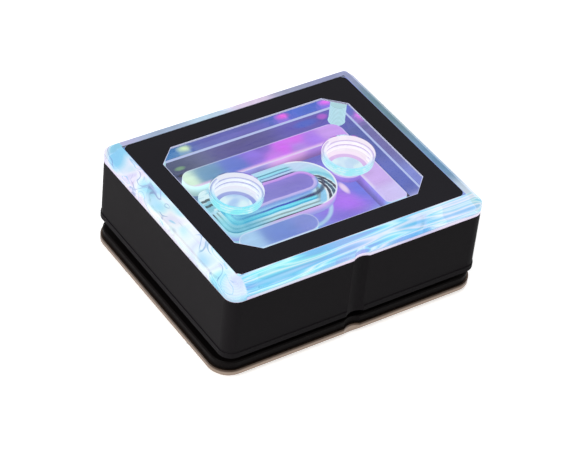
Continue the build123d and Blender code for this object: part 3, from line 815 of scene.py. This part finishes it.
def clear_acrylic():
    """Clear acrylic whose milled faces glow in the light of the ring."""
    material, tree, shader = finish_tree("clear acrylic")
    x, y, z = tree.split(tree.millimetres())
    masks = face_masks(tree, x, y, z)
    tone = face_glow(tree, masks, x, y, z)
    share = masks["milled"].most(masks["rim"]).most(masks["foot"]) * 0.9
    for name, most in (("screw", 0.92), ("port", 0.92), ("crown", 0.75), ("line", 0.85)):
        share = share.most(most * masks[name])
    # The polished top mirrors the white surroundings over what lies under it, so that is taken off
    inside = 1 - masks["crown"].most(masks["line"])
    mirrored = tree.scale_colour((1.0, 1.0, 1.0), sheen * inside)
    tone = tree.node("ShaderNodeVectorMath", {"operation": "SUBTRACT"}, {0: tone, 1: mirrored})
    tone = tree.node("ShaderNodeVectorMath", {"operation": "MAXIMUM"}, {0: tone, 1: (0, 0, 0)})

    # This shader carries the painted glow as its emission.
    lit = tree.node("ShaderNodeBsdfPrincipled")
    grain = tree.noise(tree.place(), 0.5 * mm, detail=2.0)
    feed(lit.socket.node, Base_Color=paint(14, 14, 20), Roughness=0.4 + 0.2 * grain,
         Emission_Color=tone, Emission_Strength=1.0, Specular_IOR_Level=0.2)
    wave = tree.noise(tree.place(), 2.5 * mm, detail=1.0)
    feed(shader, Base_Color=paint(252, 254, 255), Roughness=0.004 + 0.01 * grain, IOR=1.49,
         Transmission_Weight=1.0, Normal=tree.bump(wave, 0.01 * mm, 0.2))
    both = tree.node("ShaderNodeMixShader", None, {
        0: share, 1: Wire(tree, shader.outputs[0]), 2: lit})
    both.to(material.node_tree.nodes["Material Output"].inputs["Surface"])
    return material


acrylic = clear_acrylic()
print("clear top nodes:", len(acrylic.node_tree.nodes))

# %% [markdown]
# ## Lights, board and the small parts on it
# The light packages are white with a lens that burns in its own colour. The board round them
# has a pale mask, and it glows in the mean colour of the lights beside it. The black land under
# the clear top takes the glow of the floor that it touches.

# %% Finishes of the lights and the small parts
lens_height = 0.35


def lit_package():
    """A white light package whose lens burns in the colour of its place."""
    material, tree, shader = finish_tree("lit package")
    x, y, z = tree.split(tree.millimetres())
    lens = z.above(chips_high.z / mm - lens_height, 0.02)
    grain = tree.noise(tree.place(), 0.4 * mm)
    glow = tree.scale_colour(glow_field(tree, x, y, ring_glows, 4), 0.5 + 1.2 * lens)
    feed(shader, Base_Color=paint(236, 236, 230), Roughness=0.25 + 0.1 * grain,
         Emission_Color=glow, Emission_Strength=1.0)
    return material


def lit_board():
    """A pale board mask in the glow of the lights that stand on it."""
    material, tree, shader = finish_tree("lit board")
    x, y = tree.split(tree.millimetres())[:2]
    grain = tree.noise(tree.place(), 0.3 * mm)
    track = tree.noise(tree.place(scale=(1, 1, 0.1)), 2.5 * mm, detail=0.0)
    edge = abs(track - 0.5).below(0.02, 0.01)
    field = glow_field(tree, x, y, ring_glows, 6)
    glow = tree.scale_colour(tree.mix(0.5, field, paint(60, 70, 150)), 0.55 - 0.2 * edge)
    feed(shader, Base_Color=paint(214, 216, 222), Roughness=0.4 + 0.1 * grain,
         Emission_Color=glow, Emission_Strength=1.0, Normal=tree.bump(edge, 0.02 * mm))
    return material


def plain_moulding(name, colour, rough):
    """A moulded or fired small part with a fine grain."""
    material, tree, shader = finish_tree(name)
    grain = tree.noise(tree.place(), 0.3 * mm)
    tone = tree.mix(grain, tuple(0.85 * value for value in colour[:3]) + (1.0,), colour)
    feed(shader, Base_Color=tone, Roughness=rough + 0.1 * grain,
         Normal=tree.bump(grain, 0.005 * mm))
    return material


def frosted_insert():
    """The frosted plug in the inlet pocket, which glows as the milled faces do."""
    material, tree, shader = finish_tree("frosted insert")
    x = tree.split(tree.millimetres())[0]
    grain = tree.noise(tree.place(), 0.4 * mm)
    streak = tree.noise(tree.place(scale=(0.3, 1, 1)), 2 * mm, detail=2.0)
    tone = tree.mix(x.step(-16, 8), paint(176, 226, 244), paint(128, 118, 204))
    feed(shader, Base_Color=paint(60, 58, 90), Roughness=0.3 + 0.2 * grain,
         Emission_Color=tree.scale_colour(tone, 0.55 + 0.5 * streak), Emission_Strength=1.0,
         Normal=tree.bump(grain, 0.01 * mm))
    return material


def lit_land(colour):
    """Black plastic whose land under the clear top takes the glow of the floor above it."""
    material = satin_black("manifold black", colour, gloss=0.04, grain=0.4 * mm,
                           depth=0.006 * mm, rough=0.5)
    tree = Tree(material.node_tree)
    x, y, z = tree.split(tree.millimetres())
    on_land = z.above(floor_level - 0.1, 0.03)
    streak = milled_streak(tree)
    glow = tree.scale_colour(lit_floor(tree, x, y, streak), 0.9 * on_land)
    feed(material.node_tree.nodes["Principled BSDF"], Emission_Color=glow, Emission_Strength=1.0)
    return material


manifold_black = lit_land(paint(16, 13, 13))
package = lit_package()
mask = lit_board()
frosted = frosted_insert()
ceramic = plain_moulding("capacitor tan", paint(176, 150, 120), 0.4)
nylon = plain_moulding("header nylon", paint(226, 222, 208), 0.4)
silicone = plain_moulding("gasket grey", paint(120, 120, 124), 0.55)
print("light finishes: 4, small parts: 3")

# %% Give every node its finish
finishes = {
    "cold_plate": plate_metal, "bracket_ring": metal_black, "manifold": manifold_black,
    "plate_seal": rubber_black, "top_seal": rubber_black, "jet_plate": steel,
    "jet_gasket": silicone, "nozzle_insert": frosted, "nozzle_seal": rubber_black,
    "housing_shell": housing_black, "acrylic_top": acrylic, "trim_frame": trim_black,
    "trim_tape": tape_black, "led_board": mask, "led_chips": package,
    "led_capacitors": ceramic, "wire_header": nylon, "header_pins": gilt,
    "cable_grommet": rubber_black, "body_screws": steel, "ring_screws": steel,
    "board_screws": steel,
}
for name, finish in finishes.items():
    for slot in frame["nodes"][name].material_slots:
        slot.material = finish
print("nodes with a finish:", len(finishes))

# %% [markdown]
# ## The port threads
# Each port has a parallel thread of 19 turns to the inch. A thread is a rule, not a shape: one
# section carried up a helix. Geometry Nodes hold that rule: a spiral curve, a section and the
# node that carries one along the other. The solids have a plain bore at the thread's outer
# size, and the rib runs along its wall. Two things are simpler than in a real port. The parallel
# sides of the section lie level, the wide one above, and the outer edge sinks 0.16 mm into the
# wall. The spiral climbs clockwise seen from above, which is left-hand, while a real port thread
# is right-hand; the spiral's Reverse input would turn it.

# %% Build the thread tree
thread_pitch = 1.337 * mm
thread_rise = 0.8 * mm
thread_turns = 2.7
thread_start = 0.5
wall_gap = 0.02 * mm
wide_share = 0.86
narrow_share = 0.26
steps_per_turn = 64


def thread_tree(material):
    """A helical rib on the inside of a bore, with its measures as inputs of the tree."""
    group = bpy.data.node_groups.new("port thread", "GeometryNodeTree")
    names = ["Wall radius", "Pitch", "Turns", "Rib height", "Start level", "Centre x"]
    for name in names:
        group.interface.new_socket(name, in_out="INPUT", socket_type="NodeSocketFloat")
    group.interface.new_socket("Geometry", in_out="OUTPUT", socket_type="NodeSocketGeometry")
    tree = Tree(group)
    given = tree.node("NodeGroupInput").socket.node.outputs
    wall, pitch, turns, rise, level, centre = [Wire(tree, given[name]) for name in names]
    mid = wall - rise / 2
    path = tree.node("GeometryNodeCurveSpiral", None, {
        "Resolution": steps_per_turn, "Rotations": turns, "Start Radius": mid, "End Radius": mid,
        "Height": pitch * turns})
    path = tree.node("GeometryNodeSetCurveNormal", {"mode": "Z_UP"}, {"Curve": path})
    section = tree.node("GeometryNodeCurvePrimitiveQuadrilateral", {"mode": "TRAPEZOID"}, {
        "Height": rise, "Bottom Width": pitch * wide_share, "Top Width": pitch * narrow_share,
        "Offset": 0.0})
    rib = tree.node("GeometryNodeCurveToMesh", None, {
        "Curve": path, "Profile Curve": section, "Fill Caps": True})
    offset = tree.node("ShaderNodeCombineXYZ", None, {0: centre, 2: level})
    rib = tree.node("GeometryNodeTransform", None, {"Geometry": rib, "Translation": offset})
    rib = tree.node("GeometryNodeRealizeInstances", None, {"Geometry": rib})
    rib = tree.node("GeometryNodeSetMaterial", None, {"Geometry": rib, "Material": material})
    tree.node("NodeGroupOutput", None, {"Geometry": rib})
    return group


def grow(name, group, values):
    """Runs a geometry tree on an empty mesh and keeps the result as a plain mesh."""
    seed = bpy.data.objects.new(name, bpy.data.meshes.new(name + " seed"))
    bpy.context.collection.objects.link(seed)
    modifier = seed.modifiers.new("grow", "NODES")
    modifier.node_group = group
    for item in group.interface.items_tree:
        if item.in_out == "INPUT" and item.name in values:
            modifier[item.identifier] = values[item.name]
    seen = seed.evaluated_get(bpy.context.evaluated_depsgraph_get())
    mesh = bpy.data.meshes.new_from_object(seen)
    seed.modifiers.clear()
    seed.data = mesh
    return seed


# %% Finish of the ribs
def rib_acrylic():
    """The ribs of the ports in painted light: pale towards the axis, and blue where they meet the
    wall.
    """
    material, tree, shader = finish_tree("rib acrylic")
    x, y = tree.split(tree.millimetres())[:2]
    grain = tree.noise(tree.place(scale=(1, 1, 3)), 0.8 * mm)
    root = port_distance(x, y).above(6.15, 0.3)
    side = port_side(x, y)
    facing = port_facing(x, y, 1.0)
    crest = tree.mix(side, paint(226, 240, 252), paint(250, 242, 254))
    tone = tree.mix(root, crest, tree.mix(side, paint(140, 164, 210), paint(194, 174, 216)))
    tone = tree.mix(facing, tree.mix(side, paint(120, 222, 242), paint(176, 226, 246)), tone)
    feed(shader, Base_Color=paint(60, 70, 84), Roughness=0.25 + 0.1 * grain,
         Emission_Color=tree.scale_colour(tone, 0.8 + 0.3 * grain), Emission_Strength=1.0,
         Normal=tree.bump(grain, 0.02 * mm))
    return material


ribs = rib_acrylic()
threads = thread_tree(ribs)
shoulder_level = top_high.z - port_depth * mm
for name, place in zip(("thread_in", "thread_out"), port_places):
    rib = grow(name, threads, {
        "Wall radius": port_radius - wall_gap, "Pitch": thread_pitch, "Turns": thread_turns,
        "Rib height": thread_rise, "Start level": shoulder_level + thread_start * thread_pitch,
        "Centre x": place.x})
    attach(rib, BODY)
    reach = [math.hypot(v.co.x - place.x, v.co.y) / mm for v in rib.data.vertices]
    ends = round(min(reach), 2), round(max(reach), 2)
    print(name, "faces", len(rib.data.polygons), "from", ends[0], "to", ends[1], "mm off the axis")

# %% [markdown]
# ## Floor, light and camera
# The block stands on a plain white floor in soft studio light. The floor and the world are
# white where the camera looks, and the lamps stay low enough that a colour renders as it is
# written.

# %% Floor
floor_glow = 0.55
sky_level = 0.4


def seen_rays(tree):
    """One for rays that show a thing, straight or mirrored; nought for those that light it."""
    path = tree.node("ShaderNodeLightPath")
    rays = {output.name: Wire(tree, output) for output in path.socket.node.outputs}
    return rays["Is Camera Ray"].most(rays["Is Glossy Ray"]).most(rays["Is Transmission Ray"])


def white_floor():
    """A white floor that takes a faint shadow and stays white for the camera."""
    material, tree, shader = finish_tree("floor white")
    speckle = tree.noise(tree.place(), 40 * mm)
    tone = tree.mix(speckle, paint(236, 236, 236), paint(240, 240, 240))
    feed(shader, Base_Color=tone, Roughness=0.9, Specular_IOR_Level=0.0)
    glow = tree.node("ShaderNodeEmission", None, {
        "Color": (1, 1, 1, 1), "Strength": seen_rays(tree) * floor_glow})
    both = tree.node("ShaderNodeAddShader", None, {0: Wire(tree, shader.outputs[0]), 1: glow})
    both.to(material.node_tree.nodes["Material Output"].inputs["Surface"])
    return material


floor_size = 3.0
bpy.ops.mesh.primitive_plane_add(size=floor_size, location=(0, 0, 0))
floor = bpy.context.object
floor.name = "floor"
floor.data.materials.append(white_floor())
print("floor:", floor_size, "m wide")

# %% World and lamps
world = bpy.data.worlds.new("studio")
world.use_nodes = True
bpy.context.scene.world = world
background = world.node_tree.nodes["Background"]
sky_strength = sky_level + (1 - sky_level) * seen_rays(Tree(world.node_tree))
feed(background, Color=(1, 1, 1, 1), Strength=sky_strength)


def soft_lamp(name, place, aim, size, power):
    """A square lamp that points at the aim."""
    data = bpy.data.lights.new(name, "AREA")
    data.size = size
    data.energy = power
    lamp = bpy.data.objects.new(name, data)
    bpy.context.collection.objects.link(lamp)
    turn = (Vector(aim) - Vector(place)).to_track_quat("-Z", "Y")
    lamp.matrix_world = Matrix.Translation(place) @ turn.to_matrix().to_4x4()


lamp_aim = (0, 0, 0.01)
soft_lamp("left lamp", place=(-0.6, -0.1, 0.22), aim=lamp_aim, size=0.4, power=3.2)
soft_lamp("top lamp", place=(0.1, -0.1, 0.7), aim=lamp_aim, size=0.5, power=1.5)
print("lamps: 2")

# %% Camera
view_azimuth = math.radians(-37.045)
view_elevation = math.radians(40.038)
view_roll = math.radians(6.4506)
view_distance = 614.85 * mm
view_aim = Vector((-3.818, -5.959, 14.85)) * mm
view_width = math.radians(13.2358)

back = Vector((math.sin(view_azimuth) * math.cos(view_elevation),
               -math.cos(view_azimuth) * math.cos(view_elevation), math.sin(view_elevation)))
camera_data = bpy.data.cameras.new("camera")
camera_data.sensor_width = 36.0
camera_data.lens = camera_data.sensor_width / 2 / math.tan(view_width / 2)
camera = bpy.data.objects.new("camera", camera_data)
bpy.context.collection.objects.link(camera)
place = Matrix.Translation(view_aim + back * view_distance)
turn = (-back).to_track_quat("-Z", "Y").to_matrix().to_4x4()
camera.matrix_world = place @ turn @ Matrix.Rotation(view_roll, 4, "Z")
bpy.context.scene.camera = camera
bpy.context.scene.view_settings.view_transform = "Standard"
print("camera lens", round(camera_data.lens, 2))
